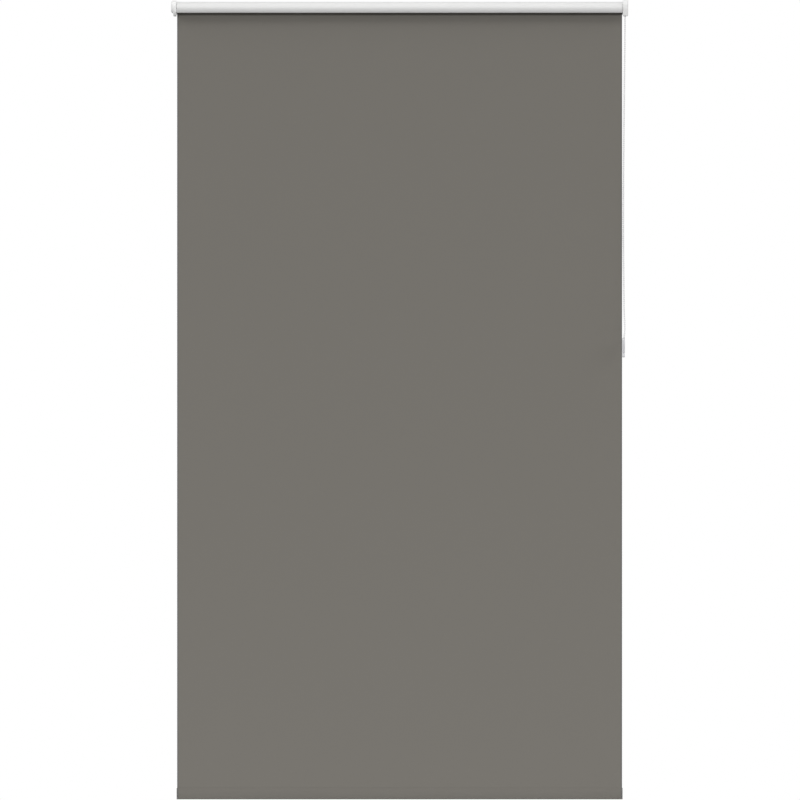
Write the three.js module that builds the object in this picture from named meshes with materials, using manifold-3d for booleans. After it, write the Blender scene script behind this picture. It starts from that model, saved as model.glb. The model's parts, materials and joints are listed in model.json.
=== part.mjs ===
// A cassette roller blind with a bead chain, fully lowered.
//
// Millimetres. X runs along the blind, the room is towards -Y, the wall is the plane y = 0 and Z is up.
// The origin is on the wall face of the middle clip, at the height of the roller's axis.
// Sections of long pieces are drawn as [y, z] points and grown along X.

import * as THREE from 'three';
import { mergeVertices } from 'three/addons/utils/BufferGeometryUtils.js';
import Module from 'manifold-3d';

const wasm = await Module();
wasm.setup();

// ---------------------------------------------------------------- driving dimensions

const halfWidth = 650; // end cap to end cap is 1300
const capInner = 635.3; // inner face of each end cap
const fabricHalfWidth = 633;
const blindBottom = -2250.7; // underside of the hem

const clearance = 0.3; // between pieces that touch
const sheetThickness = 0.5; // fabric, a little thicker than the real 0.25
const rollerY = -27; // roller axis, in front of the wall

const capBack = -0.8;
const capFront = -50;
const capWall = 1.8;
const coverThickness = 1.3;
const coverTop = 18.8;
const coverFront = -49;
const coverLip = -12.6; // lowest line of the cover
const coverRadius = 17.5; // of the round front, on the outside

const tubeRadius = 9;
const tubeWall = 0.95;
const rollRadius = 9.8; // the turns of fabric that stay on the tube
const tubeHalfLength = 632.1;

const beadDiameter = 4.5;
const beadPitch = 6;
const wheelPockets = 12;
const wheelPitchRadius = (beadPitch * wheelPockets) / (2 * Math.PI);
const wheelX = 641.5;

const weightX = 637;
const weightY = -35.2;
const pulleyZ = -951;
const pulleyPitchRadius = 9.2;
const weightBottom = -980.9; // underside of the weight's case
const weightHalfWidth = 3.9;
const weightHalfDepth = 13.3;

const hemHalfHeight = 16.35;
const hemZ = blindBottom + hemHalfHeight;
const hemFrontDepth = 8.5; // from the hem's front to its lowest line
const hemBackDepth = 3.6; // from its lowest line to its back

const clipSpacing = 480;
const clipWidth = 30;

// ---------------------------------------------------------------- materials

function material(color, roughness, metalness) {
  return new THREE.MeshStandardMaterial({ color, roughness, metalness });
}

const whitePlastic = material(0xebebeb, 0.42, 0);
const greyPlastic = material(0xd2d2d5, 0.45, 0);
const whiteAluminium = material(0xe9e9e9, 0.35, 0.1);
const bareAluminium = material(0xb9bcc0, 0.4, 1);
const springSteel = material(0xa9adb2, 0.35, 1);
const fabric = material(0x76736d, 0.95, 0);
const fabricPlastic = material(0x6b6c66, 0.6, 0);
const beadPlastic = material(0xe6e6e8, 0.4, 0);

// ---------------------------------------------------------------- solids

function solidOf(geometry) {
  const bare = geometry.clone();
  for (const name of Object.keys(bare.attributes)) {
    if (name !== 'position') bare.deleteAttribute(name);
  }
  const merged = mergeVertices(bare, 1e-4);
  const corners = merged.index.array;
  const kept = [];
  for (let i = 0; i < corners.length; i += 3) {
    const [a, b, c] = corners.slice(i, i + 3);
    if (a !== b && b !== c && c !== a) kept.push(a, b, c);
  }
  const vertProperties = new Float32Array(merged.attributes.position.array);
  const triVerts = new Uint32Array(kept);
  return new wasm.Manifold(new wasm.Mesh({ numProp: 3, vertProperties, triVerts }));
}

function geometryOf(solid) {
  const mesh = solid.getMesh();
  const geometry = new THREE.BufferGeometry();
  geometry.setAttribute('position', new THREE.BufferAttribute(mesh.vertProperties, 3));
  geometry.setIndex(new THREE.BufferAttribute(mesh.triVerts, 1));
  return geometry;
}

function cut(geometry, ...tools) {
  return geometryOf(tools.reduce((solid, tool) => solid.subtract(solidOf(tool)), solidOf(geometry)));
}

function join(geometry, ...others) {
  return geometryOf(others.reduce((solid, other) => solid.add(solidOf(other)), solidOf(geometry)));
}

function mirroredInX(geometry) {
  const copy = geometry.clone();
  copy.scale(-1, 1, 1);
  const corners = copy.index.array;
  for (let i = 0; i < corners.length; i += 3) {
    [corners[i], corners[i + 1]] = [corners[i + 1], corners[i]];
  }
  return copy;
}

function block(low, high) {
  const size = high.map((value, axis) => value - low[axis]);
  const geometry = new THREE.BoxGeometry(...size);
  const centre = high.map((value, axis) => (value + low[axis]) / 2);
  return geometry.translate(...centre);
}

// Section axes u, v and growth axis w become Y, Z and X.
const sectionToWorld = new THREE.Matrix4().makeBasis(
  new THREE.Vector3(0, 1, 0),
  new THREE.Vector3(0, 0, 1),
  new THREE.Vector3(1, 0, 0),
);

function shapeFrom(points) {
  return new THREE.Shape(points.map(([y, z]) => new THREE.Vector2(y, z)));
}

function prism(shape, x0, x1) {
  const geometry = new THREE.ExtrudeGeometry(shape, { depth: x1 - x0, bevelEnabled: false });
  return geometry.applyMatrix4(sectionToWorld).translate(x0, 0, 0);
}

// A solid that passes through the same outline at several places along X. Each station is
// [x, inset], and outlineAt(inset) gives the outline's points there, counterclockwise from +X.
function loft(outlineAt, stations) {
  const rings = stations.map(([x, inset]) => outlineAt(inset).map(([y, z]) => [x, y, z]));
  const count = rings[0].length;
  const corners = [];
  for (let ring = 0; ring < rings.length - 1; ring += 1) {
    for (let i = 0; i < count; i += 1) {
      const next = (i + 1) % count;
      const [a, b] = [ring * count + i, ring * count + next];
      corners.push(a, b, b + count, a, b + count, a + count);
    }
  }
  const flat = (ring) => ring.map(([, y, z]) => new THREE.Vector2(y, z));
  const last = (rings.length - 1) * count;
  for (const [a, b, c] of THREE.ShapeUtils.triangulateShape(flat(rings[0]), [])) corners.push(c, b, a);
  for (const [a, b, c] of THREE.ShapeUtils.triangulateShape(flat(rings.at(-1)), [])) {
    corners.push(last + a, last + b, last + c);
  }
  const geometry = new THREE.BufferGeometry();
  geometry.setAttribute('position', new THREE.Float32BufferAttribute(rings.flat(2), 3));
  geometry.setIndex(corners);
  return geometry;
}

// A prism whose end at x1 is rounded over by the given radius.
function roundedPrism(outlineAt, x0, x1, radius) {
  const steps = 3;
  const stations = [[x0, 0]];
  for (let i = 0; i <= steps; i += 1) {
    const angle = (Math.PI / 2) * (i / steps);
    stations.push([x1 - radius * (1 - Math.sin(angle)), radius * (1 - Math.cos(angle))]);
  }
  return loft(outlineAt, stations);
}

// A body of revolution about a line along X. The profile's [x, radius] points run so that the
// outer surface goes towards +X.
function turned(profile, y, z, segments = 24) {
  const points = profile.map(([x, radius]) => new THREE.Vector2(radius, x));
  const geometry = new THREE.LatheGeometry(points, segments);
  const axes = new THREE.Matrix4().makeBasis(
    new THREE.Vector3(0, 0, 1),
    new THREE.Vector3(1, 0, 0),
    new THREE.Vector3(0, 1, 0),
  );
  return geometryOf(solidOf(geometry.applyMatrix4(axes).translate(0, y, z)));
}

function rod(radius, x0, x1, y, z, segments = 16) {
  return turned([[x0, 0], [x0, radius], [x1, radius], [x1, 0]], y, z, segments);
}

function sleeve(inner, outer, x0, x1, y, z, segments = 24) {
  return turned([[x0, inner], [x0, outer], [x1, outer], [x1, inner], [x0, inner]], y, z, segments);
}

const alongY = new THREE.Vector3(0, 1, 0);
const alongZ = new THREE.Vector3(0, 0, 1);

// A rod between two points that lie along the given axis.
function rodAlong(axis, radius, from, to, segments = 12) {
  const start = new THREE.Vector3(...from);
  const end = new THREE.Vector3(...to);
  const geometry = new THREE.CylinderGeometry(radius, radius, start.distanceTo(end), segments);
  const turn = new THREE.Quaternion().setFromUnitVectors(alongY, axis);
  const middle = start.add(end).multiplyScalar(0.5);
  return geometry.applyQuaternion(turn).translate(middle.x, middle.y, middle.z);
}

// The outline of a bent strip of sheet metal: a [y, z] path given thickness on both sides.
function stripShape(path, thickness) {
  const points = path.map(([y, z]) => new THREE.Vector2(y, z));
  const left = [];
  const right = [];
  points.forEach((point, i) => {
    const before = points[Math.max(i - 1, 0)];
    const after = points[Math.min(i + 1, points.length - 1)];
    const incoming = point.clone().sub(before).normalize();
    const outgoing = after.clone().sub(point).normalize();
    if (i === 0) incoming.copy(outgoing);
    if (i === points.length - 1) outgoing.copy(incoming);
    const along = incoming.clone().add(outgoing).normalize();
    const normal = new THREE.Vector2(-along.y, along.x);
    const reach = thickness / 2 / Math.max(normal.dot(new THREE.Vector2(-incoming.y, incoming.x)), 0.3);
    left.push(point.clone().addScaledVector(normal, reach));
    right.push(point.clone().addScaledVector(normal, -reach));
  });
  return new THREE.Shape([...right, ...left.reverse()]);
}

function arcPoints(centre, radiusY, radiusZ, fromDegrees, toDegrees, steps) {
  return Array.from({ length: steps + 1 }, (_, i) => {
    const angle = THREE.MathUtils.degToRad(fromDegrees + ((toDegrees - fromDegrees) * i) / steps);
    return [centre[0] + radiusY * Math.cos(angle), centre[1] + radiusZ * Math.sin(angle)];
  });
}

function helix(radius, wire, x0, x1, turns, y, z) {
  class Coil extends THREE.Curve {
    getPoint(t, target = new THREE.Vector3()) {
      const angle = 2 * Math.PI * turns * t;
      return target.set(x0 + (x1 - x0) * t, y + radius * Math.cos(angle), z + radius * Math.sin(angle));
    }
  }
  const section = new THREE.Shape().absarc(0, 0, wire / 2, 0, 2 * Math.PI);
  const stepsPerTurn = 12;
  return new THREE.ExtrudeGeometry(section, {
    steps: stepsPerTurn * turns,
    extrudePath: new Coil(),
    curveSegments: 3,
  });
}

// ---------------------------------------------------------------- the group

const blind = new THREE.Group();

function add(name, geometry, meshMaterial) {
  const mesh = new THREE.Mesh(geometry, meshMaterial);
  mesh.name = name;
  blind.add(mesh);
}

// ---------------------------------------------------------------- wall clips and head rail

// Each clip is one strip of spring steel: a flat back on the wall and two arms turned outwards.
function wallClip(x) {
  const steel = 1.2;
  const back = -steel / 2;
  const armZ = 10.4;
  const tip = -4.6;
  const tipZ = 15;
  const path = [[tip, tipZ], [tip, armZ], [back, armZ], [back, -armZ], [tip, -armZ], [tip, -tipZ]];
  const strip = prism(stripShape(path, steel), x - clipWidth / 2, x + clipWidth / 2);
  const holeRadius = 2.2;
  const holeZ = 6;
  const holes = [holeZ, -holeZ].map((z) => rodAlong(alongY, holeRadius, [x, -5, z], [x, 5, z]));
  return cut(strip, ...holes);
}

add('wall_clip_left', wallClip(-clipSpacing), springSteel);
add('wall_clip_middle', wallClip(0), springSteel);
add('wall_clip_right', wallClip(clipSpacing), springSteel);

const railWall = 1.4;
const railPlateY = -7.1;
const railHalfHeight = 16.5;
const railPortY = -10.3;
const railPortZ = 11;
const railEnd = capInner - 0.4;

// The rail's section: a plate, a web at its top and bottom that turn back towards the wall and end
// in the lips that the clips hold, and two square ports for the end-cap screws.
function backRail() {
  const lipY = -2.9;
  const lipZ = 12.5;
  const webFront = -15;
  const hook = (side) => stripShape(
    [[webFront, side * railHalfHeight], [lipY, side * railHalfHeight], [lipY, side * lipZ]],
    railWall,
  );
  const plate = [
    [railPlateY - railWall / 2, -railHalfHeight],
    [railPlateY + railWall / 2, -railHalfHeight],
    [railPlateY + railWall / 2, railHalfHeight],
    [railPlateY - railWall / 2, railHalfHeight],
  ];
  const portHalf = 2.6;
  const portHole = 1.5;
  const port = (z) => block(
    [-railEnd, railPortY - portHalf, z - portHalf],
    [railEnd, railPlateY, z + portHalf],
  );
  const hole = (z) => rod(portHole, -railEnd - 1, railEnd + 1, railPortY, z, 12);
  const whole = join(
    prism(shapeFrom(plate), -railEnd, railEnd),
    prism(hook(1), -railEnd, railEnd),
    prism(hook(-1), -railEnd, railEnd),
    port(railPortZ),
    port(-railPortZ),
  );
  return cut(whole, hole(railPortZ), hole(-railPortZ));
}

add('back_rail', backRail(), whiteAluminium);

// ---------------------------------------------------------------- cover

// The cover stops short of the end caps, so a narrow groove shows beside each of them.
const coverEnd = capInner - 1.1;
const coverBack = -2.9;

// The cover's mid line: flat on top, and a round front that ends below in the lip.
function coverPath() {
  const half = coverThickness / 2;
  const radius = coverRadius - half;
  const centre = [coverFront + coverRadius, coverTop - coverRadius];
  const below = Math.asin((centre[1] - coverLip) / coverRadius);
  const lipDegrees = 180 + THREE.MathUtils.radToDeg(below);
  return [[coverBack, coverTop - half], ...arcPoints(centre, radius, radius, 90, lipDegrees, 15)];
}

add('cassette_cover', prism(stripShape(coverPath(), coverThickness), -coverEnd, coverEnd), whiteAluminium);

// ---------------------------------------------------------------- end caps

// Each cap has a round body, which follows the cover, and a narrower foot under it.
const leftCap = {
  top: 22, bodyBottom: -13.6, frontRadius: 16, edgeRadius: 6,
  footBottom: -22.6, footKnee: -5, footToe: -50, footCorner: 17, footOuter: 643.8,
};
const rightCap = {
  top: 23.6, bodyBottom: -13.6, frontRadius: 15, edgeRadius: 3,
  footBottom: -21.9, footKnee: -3, footToe: -43.4, footCorner: 2, footOuter: halfWidth,
};
const footTop = 1; // inside the body
const footEdge = 3;

// Side outline of a cap's body, drawn smaller by inset: square at the wall, round in front.
function bodyOutline({ top, bodyBottom, frontRadius }, inset) {
  const back = Math.max(2.5 - inset, 0.6);
  const front = frontRadius - inset;
  const y0 = capFront + inset;
  const y1 = capBack - inset;
  const z0 = bodyBottom + inset;
  const z1 = top - inset;
  return [
    ...arcPoints([y1 - back, z0 + back], back, back, -90, 0, 3),
    ...arcPoints([y1 - back, z1 - back], back, back, 0, 90, 3),
    ...arcPoints([y0 + front, z1 - front], front, front, 90, 180, 8),
    ...arcPoints([y0 + front, z0 + front], front, front, 180, 270, 8),
  ];
}

// Side outline of a cap's foot, drawn smaller by inset. From the knee down its front goes back to
// the toe.
function footOutline({ footBottom, footKnee, footToe, footCorner }, inset) {
  const back = Math.max(2.5 - inset, 0.6);
  const front = Math.max(footCorner - inset, 0.6);
  const y1 = capBack - inset;
  const z0 = footBottom + inset;
  return [
    ...arcPoints([y1 - back, z0 + back], back, back, -90, 0, 3),
    [y1, footTop],
    [capFront + inset, footTop],
    [capFront + inset, footKnee],
    ...arcPoints([footToe + inset + front, z0 + front], front, front, 180, 270, 4),
  ];
}

// The cap as a shell that opens towards the blind, made for the right side.
function capShell(cap) {
  const outside = join(
    roundedPrism((inset) => bodyOutline(cap, inset), capInner, halfWidth, cap.edgeRadius),
    roundedPrism((inset) => footOutline(cap, inset), capInner, cap.footOuter, footEdge),
  );
  const start = capInner - 1;
  const room = (outline, end, edge) => (
    roundedPrism((inset) => outline(cap, capWall + inset), start, end - capWall, edge - capWall)
  );
  return cut(
    outside,
    room(bodyOutline, halfWidth, cap.edgeRadius),
    room(footOutline, cap.footOuter, footEdge),
  );
}

const plateThickness = 2;
const plateOuter = capInner + plateThickness;

// The plate that closes the cap's open side, with a round hole on the roller's axis.
function capPlate(cap, holeRadius) {
  const blank = join(
    ...[bodyOutline, footOutline].map(
      (outline) => prism(shapeFrom(outline(cap, capWall + clearance)), capInner, plateOuter),
    ),
  );
  const screwHole = 1.5;
  const holes = [railPortZ, -railPortZ].map(
    (z) => rod(screwHole, capInner - 1, plateOuter + 1, railPortY, z, 12),
  );
  return cut(blank, rod(holeRadius, capInner - 1, plateOuter + 1, rollerY, 0, 24), ...holes);
}

const spigotRadius = 2.2;
const hubEnd = 606;

function rightEndCap() {
  const slotHalf = beadDiameter / 2 + 0.6;
  const slotFront = -42.5; // leaves room for the chain when it swings out
  const slotBack = -11.5;
  const chainSlot = block(
    [wheelX - slotHalf, slotFront, rightCap.footBottom - 1],
    [wheelX + slotHalf, slotBack, rightCap.footBottom + 6],
  );
  const spigot = rod(spigotRadius, hubEnd + 2, halfWidth - capWall / 2, rollerY, 0, 16);
  return join(cut(capShell(rightCap), chainSlot), spigot);
}

function leftEndCap() {
  return mirroredInX(capShell(leftCap));
}

const bearingOuter = 5;
const wheelSleeveOuter = 6.6;

add('left_end_cap', leftEndCap(), whitePlastic);
add('right_end_cap', rightEndCap(), whitePlastic);
add('left_cap_plate', mirroredInX(capPlate(leftCap, bearingOuter + clearance)), whitePlastic);
add('right_cap_plate', capPlate(rightCap, wheelSleeveOuter + 0.6), whitePlastic);

// Pan-head screws that hold the cap plates to the rail's ports.
function capScrew(z) {
  const shank = 1.15;
  const head = 2.4;
  const headStart = plateOuter + clearance;
  const tip = headStart - 15;
  return turned(
    [[tip, 0], [tip + 1.5, shank], [headStart, shank], [headStart, head], [headStart + 1.4, head],
      [headStart + 1.9, head * 0.6], [headStart + 1.9, 0]],
    railPortY,
    z,
    12,
  );
}

add('right_cap_screw_upper', capScrew(railPortZ), springSteel);
add('right_cap_screw_lower', capScrew(-railPortZ), springSteel);
add('left_cap_screw_upper', mirroredInX(capScrew(railPortZ)), springSteel);
add('left_cap_screw_lower', mirroredInX(capScrew(-railPortZ)), springSteel);

// ---------------------------------------------------------------- roller and its fabric

const tubeInner = tubeRadius - tubeWall;
const plugRadius = tubeInner - clearance;
const plugEnd = 600;
const plugFlange = tubeHalfLength + clearance;
const plugFace = plugFlange + 1.2;

add(
  'roller_tube',
  sleeve(tubeInner, tubeRadius, -tubeHalfLength, tubeHalfLength, rollerY, 0),
  bareAluminium,
);
add(
  'fabric_roll',
  sleeve(tubeRadius + clearance, rollRadius, -fabricHalfWidth + 1, fabricHalfWidth - 1, rollerY, 0),
  fabric,
);

// ---------------------------------------------------------------- idle end, on the left

const pinRadius = 2.5;
const pinHeel = -615;

function idlePlug() {
  const bore = pinRadius + clearance;
  const boreEnd = -(plugEnd + 1.5);
  return turned(
    [[-plugFace, bore], [-plugFace, tubeRadius], [-plugFlange, tubeRadius], [-plugFlange, plugRadius],
      [-plugEnd, plugRadius], [-plugEnd, 0], [boreEnd, 0], [boreEnd, bore], [-plugFace, bore]],
    rollerY,
    0,
  );
}

function idlePin() {
  const tip = -641;
  return turned(
    [[tip, 0], [tip, pinRadius - 1], [tip + 1, pinRadius], [pinHeel, pinRadius], [pinHeel, 0]],
    rollerY,
    0,
    16,
  );
}

add('idle_plug', idlePlug(), whitePlastic);
add('idle_pin', idlePin(), springSteel);
add('idle_spring', helix(1.8, 0.7, pinHeel + 0.7, -(plugEnd + 2.2), 6, rollerY, 0), springSteel);
add(
  'idle_bearing',
  sleeve(pinRadius + clearance, bearingOuter, -plateOuter - 1, -capInner, rollerY, 0),
  greyPlastic,
);

// ---------------------------------------------------------------- chain drive, on the right

const hubRadius = 4.2;
const springWire = 0.8;
const springRadius = hubRadius + springWire / 2 + clearance;
const sleeveInner = springRadius + springWire / 2 + 0.35;
const sleeveEnd = 611;
const keyHalfWidth = 1.2;
const keyEnd = 620;
const keyReach = plugRadius - 0.5;

// The fixed hub that the wrap springs grip, keyed on the cap's spigot.
function clutchHub() {
  const foot = halfWidth - capWall - clearance;
  const bore = spigotRadius + clearance;
  const footStart = wheelX + 4.6;
  return turned(
    [[hubEnd, bore], [hubEnd, hubRadius], [footStart, hubRadius], [footStart, 8], [foot, 8], [foot, bore],
      [hubEnd, bore]],
    rollerY,
    0,
  );
}

// The wheel: a groove between two flanges for the beads, and a long sleeve with two keys that
// turn the drive plug.
function chainWheel() {
  const rim = wheelPitchRadius - beadDiameter / 2 - clearance;
  const flange = wheelPitchRadius + 1.2;
  const groove = beadDiameter / 2 + clearance;
  const face = groove + 1;
  const spool = turned(
    [[sleeveEnd, sleeveInner], [sleeveEnd, wheelSleeveOuter], [wheelX - face, wheelSleeveOuter],
      [wheelX - face, flange], [wheelX - groove, flange], [wheelX - groove, rim], [wheelX + groove, rim],
      [wheelX + groove, flange], [wheelX + face, flange], [wheelX + face, sleeveInner],
      [sleeveEnd, sleeveInner]],
    rollerY,
    0,
  );
  const keys = [1, -1].map((side) => {
    const reach = [wheelSleeveOuter - 0.6, keyReach].map((radius) => rollerY + side * radius);
    return block([sleeveEnd, Math.min(...reach), -keyHalfWidth], [keyEnd, Math.max(...reach), keyHalfWidth]);
  });
  return join(spool, ...keys);
}

function drivePlug() {
  const bore = wheelSleeveOuter + clearance;
  const body = turned(
    [[plugEnd, bore], [plugEnd, plugRadius], [plugFlange, plugRadius], [plugFlange, tubeRadius],
      [plugFace, tubeRadius], [plugFace, bore], [plugEnd, bore]],
    rollerY,
    0,
  );
  const keyway = block(
    [plugEnd + 5, rollerY - keyReach - clearance, -keyHalfWidth - clearance],
    [keyEnd + clearance, rollerY + keyReach + clearance, keyHalfWidth + clearance],
  );
  return cut(body, keyway);
}

add('clutch_hub', clutchHub(), greyPlastic);
add('chain_wheel', chainWheel(), whitePlastic);
add('drive_plug', drivePlug(), greyPlastic);
add('wrap_spring_inner', helix(springRadius, springWire, 614, 620, 5, rollerY, 0), springSteel);
add('wrap_spring_outer', helix(springRadius, springWire, 624, 630, 5, rollerY, 0), springSteel);

// ---------------------------------------------------------------- fabric and bottom rail

const sheetFront = rollerY + rollRadius + clearance;
const sheetMiddle = sheetFront + sheetThickness / 2;
const hemTop = hemZ + hemHalfHeight;

add(
  'fabric_sheet',
  block(
    [-fabricHalfWidth, sheetFront, hemTop + clearance],
    [fabricHalfWidth, sheetFront + sheetThickness, 0],
  ),
  fabric,
);

// Section of the hem, drawn smaller by inset. Its front goes down from the sheet and curves back
// under the bar, and its back is rounder.
function hemOutline(inset) {
  const lowestY = sheetFront + hemFrontDepth;
  const topY = sheetMiddle + inset;
  const backReach = lowestY + hemBackDepth - inset - topY;
  const halfHeight = hemHalfHeight - inset;
  const frontArc = arcPoints(
    [lowestY, hemTop - inset], hemFrontDepth - inset, 2 * halfHeight, 180, 270, 10,
  );
  const lowerBack = arcPoints([lowestY, hemZ], hemBackDepth - inset, halfHeight, 270, 360, 6);
  const upperBack = arcPoints([topY, hemZ], backReach, halfHeight, 0, 90, 6);
  return shapeFrom([...frontArc, ...lowerBack.slice(1), ...upperBack.slice(1)]);
}

function hemProfile(inset, hollow, x0, x1) {
  const shape = hemOutline(inset);
  if (hollow) shape.holes.push(hemOutline(hollow));
  return prism(shape, x0, x1);
}

const barCapInner = fabricHalfWidth + clearance;
const barCapOuter = fabricHalfWidth + 1.5;

function barCap() {
  const plugLength = 8;
  const plugOverlap = 0.2; // into the flange, so the two are one solid
  const plug = hemProfile(2.6, 0, fabricHalfWidth - plugLength, barCapInner + plugOverlap);
  return join(hemProfile(0, 0, barCapInner, barCapOuter), plug);
}

const hemWall = 0.5;
const barInset = hemWall + clearance;

const barWall = 1.3;
const barHalfLength = fabricHalfWidth - 0.5;

add('hem_pocket', hemProfile(0, hemWall, -fabricHalfWidth, fabricHalfWidth), fabric);
add(
  'bottom_bar',
  hemProfile(barInset, barInset + barWall, -barHalfLength, barHalfLength),
  bareAluminium,
);
add('bottom_bar_cap_right', barCap(), fabricPlastic);
add('bottom_bar_cap_left', mirroredInX(barCap()), fabricPlastic);

// ---------------------------------------------------------------- bead chain

// A plain tube along the chain's mid line, an eight-sided section.
function chainTube(curve, steps) {
  const corners = Array.from({ length: 8 }, (_, i) => {
    const angle = ((i + 0.5) * Math.PI) / 4;
    const radius = beadDiameter / 2;
    return new THREE.Vector2(radius * Math.cos(angle), radius * Math.sin(angle));
  });
  return new THREE.ExtrudeGeometry(new THREE.Shape(corners), { steps, extrudePath: curve });
}

// Half a turn in a plane across X, over a wheel (side 1) or under a pulley (side -1).
class HalfTurn extends THREE.Curve {
  constructor(centre, radius, side) {
    super();
    Object.assign(this, { centre, radius, side });
  }

  getPoint(t, target = new THREE.Vector3()) {
    const angle = Math.PI * t;
    const [x, y, z] = this.centre;
    return target.set(x, y + this.radius * Math.cos(angle), z + this.side * this.radius * Math.sin(angle));
  }
}

// The front and rear runs hang from the wheel, bow in towards the fabric and come back out above
// the weight, where they enter its case from the outer side.
const chainEnd = clearance / 2;
const frontRun = [
  [wheelX, rollerY - wheelPitchRadius, -chainEnd],
  [641.2, -38.5, -60],
  [640.1, -38.9, -150],
  [638.4, -39.5, -280],
  [636.8, -40.3, -420],
  [635.7, -41.2, -560],
  [635.6, -41.8, -660],
  [637.2, -42.7, -770],
  [638.4, -43.6, -860],
  [640.2, -44.1, -902],
  [639.9, -44.3, -922],
  [637.8, -44.4, -939],
  [weightX, weightY - pulleyPitchRadius, pulleyZ + chainEnd],
];
const rearRun = [
  [wheelX, rollerY + wheelPitchRadius, -chainEnd],
  [641.3, -15.6, -60],
  [640.4, -16.1, -150],
  [639.0, -17.2, -280],
  [637.6, -18.8, -420],
  [636.8, -20.6, -560],
  [636.8, -21.9, -660],
  [637.8, -23.5, -770],
  [638.8, -25.0, -860],
  [640.5, -25.5, -902],
  [640.0, -25.8, -922],
  [637.8, -25.95, -939],
  [weightX, weightY + pulleyPitchRadius, pulleyZ + chainEnd],
];

function runCurve(points) {
  return new THREE.CatmullRomCurve3(points.map((point) => new THREE.Vector3(...point)), false, 'centripetal');
}

const wheelCentre = [wheelX, rollerY, 0];
const pulleyCentre = [weightX, weightY, pulleyZ];

add('chain_over_wheel', chainTube(new HalfTurn(wheelCentre, wheelPitchRadius, 1), 12), beadPlastic);
add('chain_run_front', chainTube(runCurve(frontRun), 28), beadPlastic);
add('chain_run_rear', chainTube(runCurve(rearRun), 28), beadPlastic);
add('chain_under_pulley', chainTube(new HalfTurn(pulleyCentre, pulleyPitchRadius, -1), 10), beadPlastic);

// ---------------------------------------------------------------- chain weight

const weightWall = 1.2;
const weightTop = pulleyZ + 13;
const weightPinRadius = 1.6;
const weightScrewRadius = 1.1;
const weightSplit = 0.15; // from the middle to each half's edge
const weightRoom = weightHalfWidth - weightWall; // from the middle to the inside of the case

// Side outline of the weight: round over the pulley and drawn in a little towards the bottom.
function weightOutline(inset) {
  const radius = weightHalfDepth - inset;
  const topCorner = 6 - inset;
  const bottomHalf = 10.2 - inset;
  const bottomZ = weightBottom + inset;
  const topZ = weightTop - inset;
  const waistZ = pulleyZ - 8;
  return [
    [weightY - bottomHalf, bottomZ],
    [weightY + bottomHalf, bottomZ],
    [weightY + radius, waistZ],
    ...arcPoints([weightY + radius - topCorner, topZ - topCorner], topCorner, topCorner, 0, 90, 4),
    ...arcPoints([weightY - radius + topCorner, topZ - topCorner], topCorner, topCorner, 90, 180, 4),
    [weightY - radius, waistZ],
  ];
}

function uprightRod(radius, bottomZ, topZ) {
  return rodAlong(alongZ, radius, [weightX, weightY, bottomZ], [weightX, weightY, topZ]);
}

// One half of the weight's case, on the +X side of the split, open towards the other half. Its two
// mouths reach out to mouthReach from the middle.
function weightShell(mouthReach) {
  const split = weightX + weightSplit;
  const outer = weightX + weightHalfWidth;
  const shell = cut(
    roundedPrism(weightOutline, split, outer, 1.4),
    prism(shapeFrom(weightOutline(weightWall)), split - 1, weightX + weightRoom),
  );
  const mouthHalf = beadDiameter / 2 + 0.7;
  const mouthDepth = 9;
  const mouths = [1, -1].map((side) => {
    const y = weightY + side * pulleyPitchRadius;
    return block(
      [split - 1, y - mouthHalf, weightTop - mouthDepth],
      [weightX + mouthReach, y + mouthHalf, weightTop + 1],
    );
  });
  const pinHole = rod(weightPinRadius + clearance, split - 1, outer + 1, weightY, pulleyZ, 16);
  const screwRadius = weightScrewRadius + clearance;
  const screwHole = uprightRod(screwRadius, weightBottom - 1, weightBottom + weightWall + 1);
  return cut(shell, ...mouths, pinHole, screwHole);
}

// A plain roller for the beads, which the case keeps in line.
function weightPulley() {
  const rim = pulleyPitchRadius - beadDiameter / 2 - clearance;
  const face = weightRoom - clearance;
  return sleeve(weightPinRadius + clearance, rim, weightX - face, weightX + face, weightY, pulleyZ);
}

const slugTop = pulleyZ - 13.5;
const slugBottom = weightBottom + weightWall + clearance;
const threadDepth = 8;

function weightSlug() {
  const halfWidthOfSlug = weightRoom - clearance;
  const halfDepth = 7.6;
  const bar = block(
    [weightX - halfWidthOfSlug, weightY - halfDepth, slugBottom],
    [weightX + halfWidthOfSlug, weightY + halfDepth, slugTop],
  );
  return cut(bar, uprightRod(weightScrewRadius + clearance, slugBottom - 1, slugBottom + threadDepth));
}

const weightFootTop = weightBottom - clearance;
const weightFootBottom = -993;
const screwHeadRadius = 2;

function weightFoot() {
  const halfDepth = 9.4;
  const corner = 4;
  const inside = 0.4; // narrower than the case on each side
  const outline = shapeFrom([
    [weightY - halfDepth, weightFootTop],
    ...arcPoints([weightY - halfDepth + corner, weightFootBottom + corner], corner, corner, 180, 270, 4),
    ...arcPoints([weightY + halfDepth - corner, weightFootBottom + corner], corner, corner, 270, 360, 4),
    [weightY + halfDepth, weightFootTop],
  ]);
  const foot = prism(outline, weightX - weightHalfWidth + inside, weightX + weightHalfWidth - inside);
  const shankHole = uprightRod(weightScrewRadius + clearance, weightFootBottom - 1, weightFootTop + 1);
  const headHole = uprightRod(screwHeadRadius + clearance, weightFootBottom - 1, weightFootBottom + 3);
  return cut(foot, shankHole, headHole);
}

function weightScrew() {
  const headBottom = weightFootBottom + 0.6;
  const shank = uprightRod(weightScrewRadius, headBottom + 1, slugBottom + threadDepth - 0.5);
  return join(shank, uprightRod(screwHeadRadius, headBottom, headBottom + 2));
}

function acrossWeight(geometry) {
  const shifted = geometry.clone().translate(-weightX, 0, 0);
  return mirroredInX(shifted).translate(weightX, 0, 0);
}

const pinHalf = weightHalfWidth - 0.2;

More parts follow.
